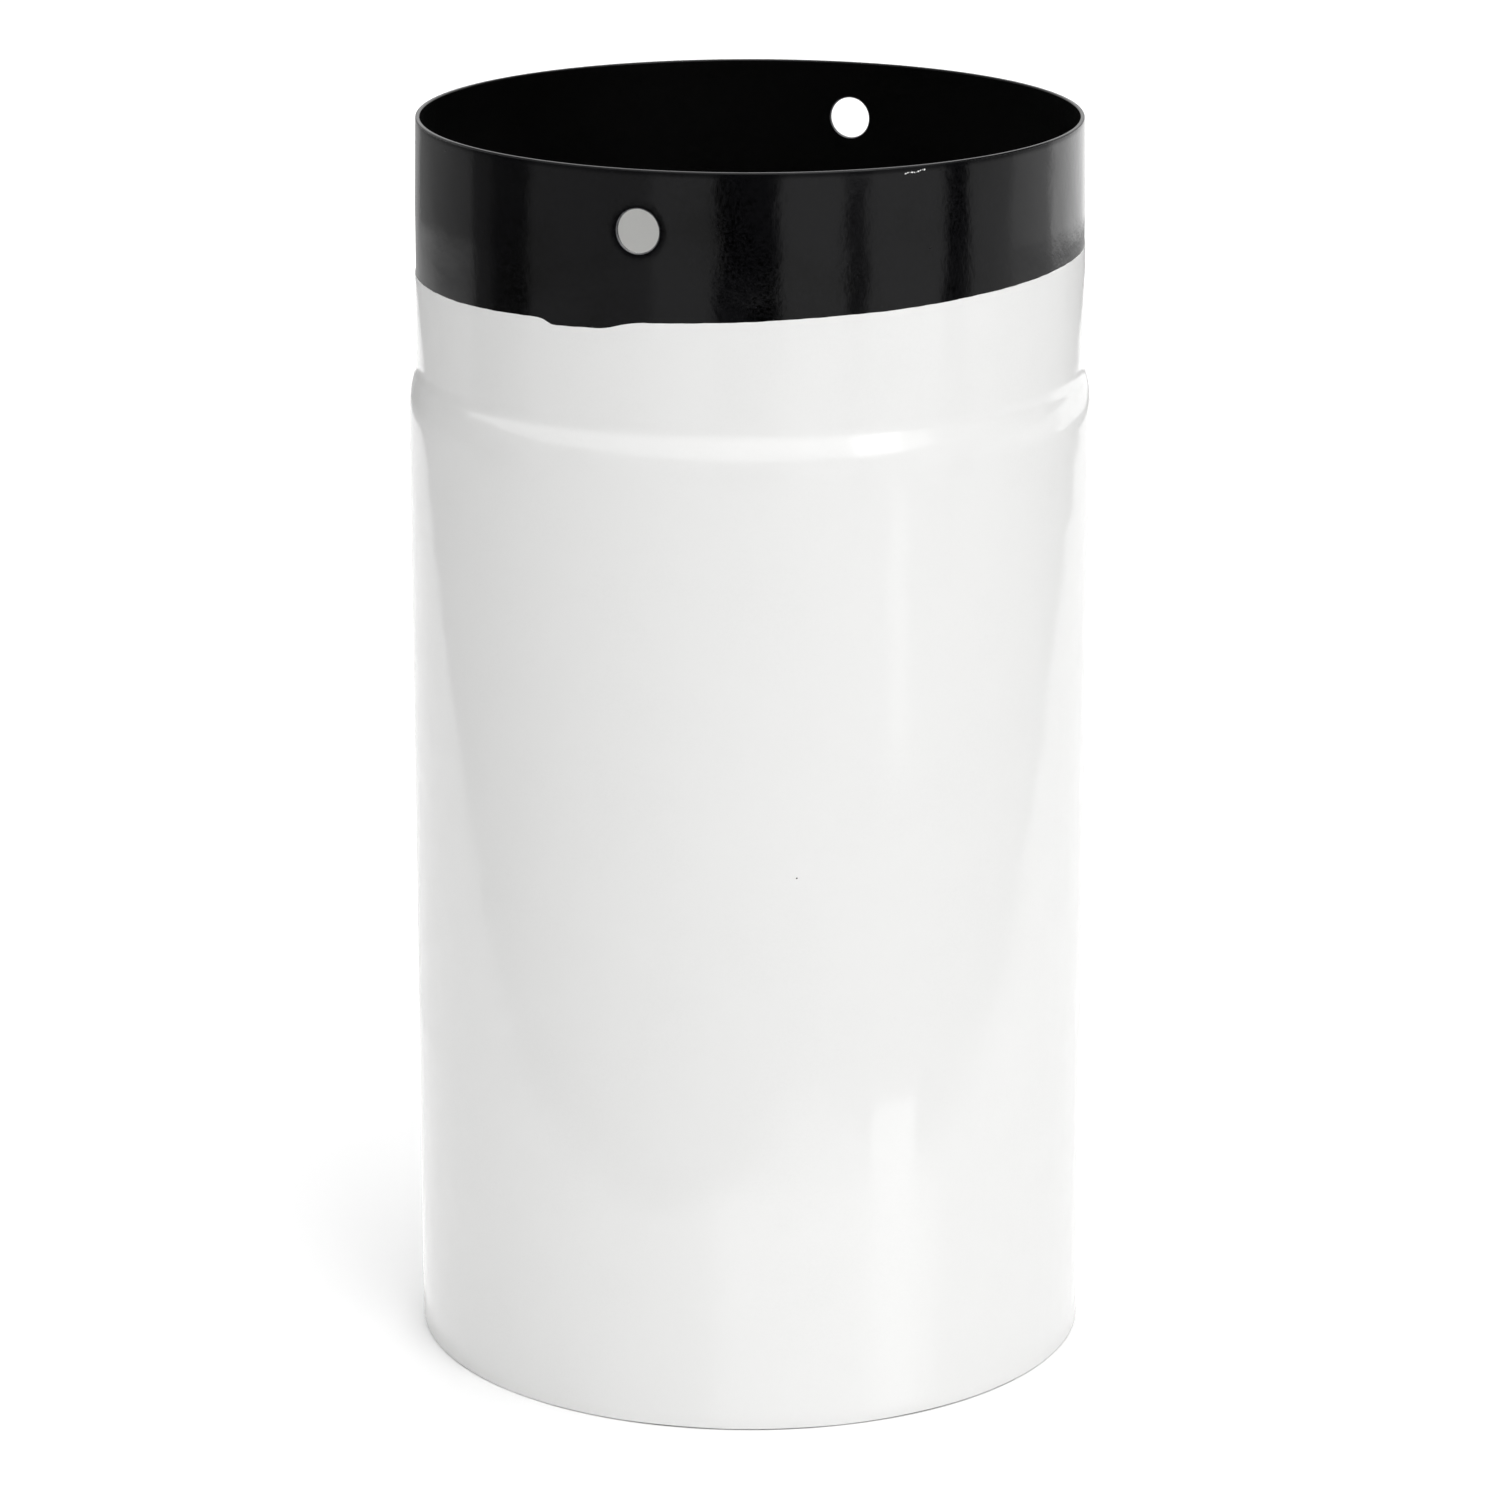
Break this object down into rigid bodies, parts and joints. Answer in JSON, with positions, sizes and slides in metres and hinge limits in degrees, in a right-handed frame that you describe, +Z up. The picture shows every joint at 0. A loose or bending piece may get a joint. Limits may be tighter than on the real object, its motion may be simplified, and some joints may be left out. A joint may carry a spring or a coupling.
{
  "type": "enamelled stove pipe length",
  "caption": "Straight length of enamelled steel stove pipe with a necked black spigot, hanging holes and a white cover coat.",
  "frame": {"origin": "on the pipe's axis, in the plane of the socket rim that it stands on", "axes": "+Z up along the pipe's axis to the spigot; the hanging holes face -Y and +Y; the weld seam faces -X"},
  "size_m": [0.1344, 0.1344, 0.248],
  "materials": {
    "sheet_steel": "cold-rolled low-carbon sheet, pickled before enamelling",
    "weld_metal": "rolled flush butt weld",
    "black_enamel": "black ground coat, fired glossy with a faint orange peel",
    "black_enamel_bore": "black ground coat inside the pipe, fired, a little duller",
    "black_enamel_rim": "black ground coat drawn thin over a cut edge",
    "white_enamel": "white cover coat, fired glossy with a faint orange peel",
    "white_enamel_bore": "white cover coat inside the pipe, fired, a little duller"
  },
  "bodies": {
    "root": {"steel_tube": "sheet_steel", "seam_weld": "weld_metal", "ground_coat_outside": "black_enamel", "ground_coat_inside": "black_enamel_bore", "spigot_rim_coat": "black_enamel_rim", "socket_rim_coat": "black_enamel_rim", "hanging_hole_coats": "black_enamel_rim", "cover_coat_outside": "white_enamel", "cover_coat_inside": "white_enamel_bore"}
  },
  "joints": []
}
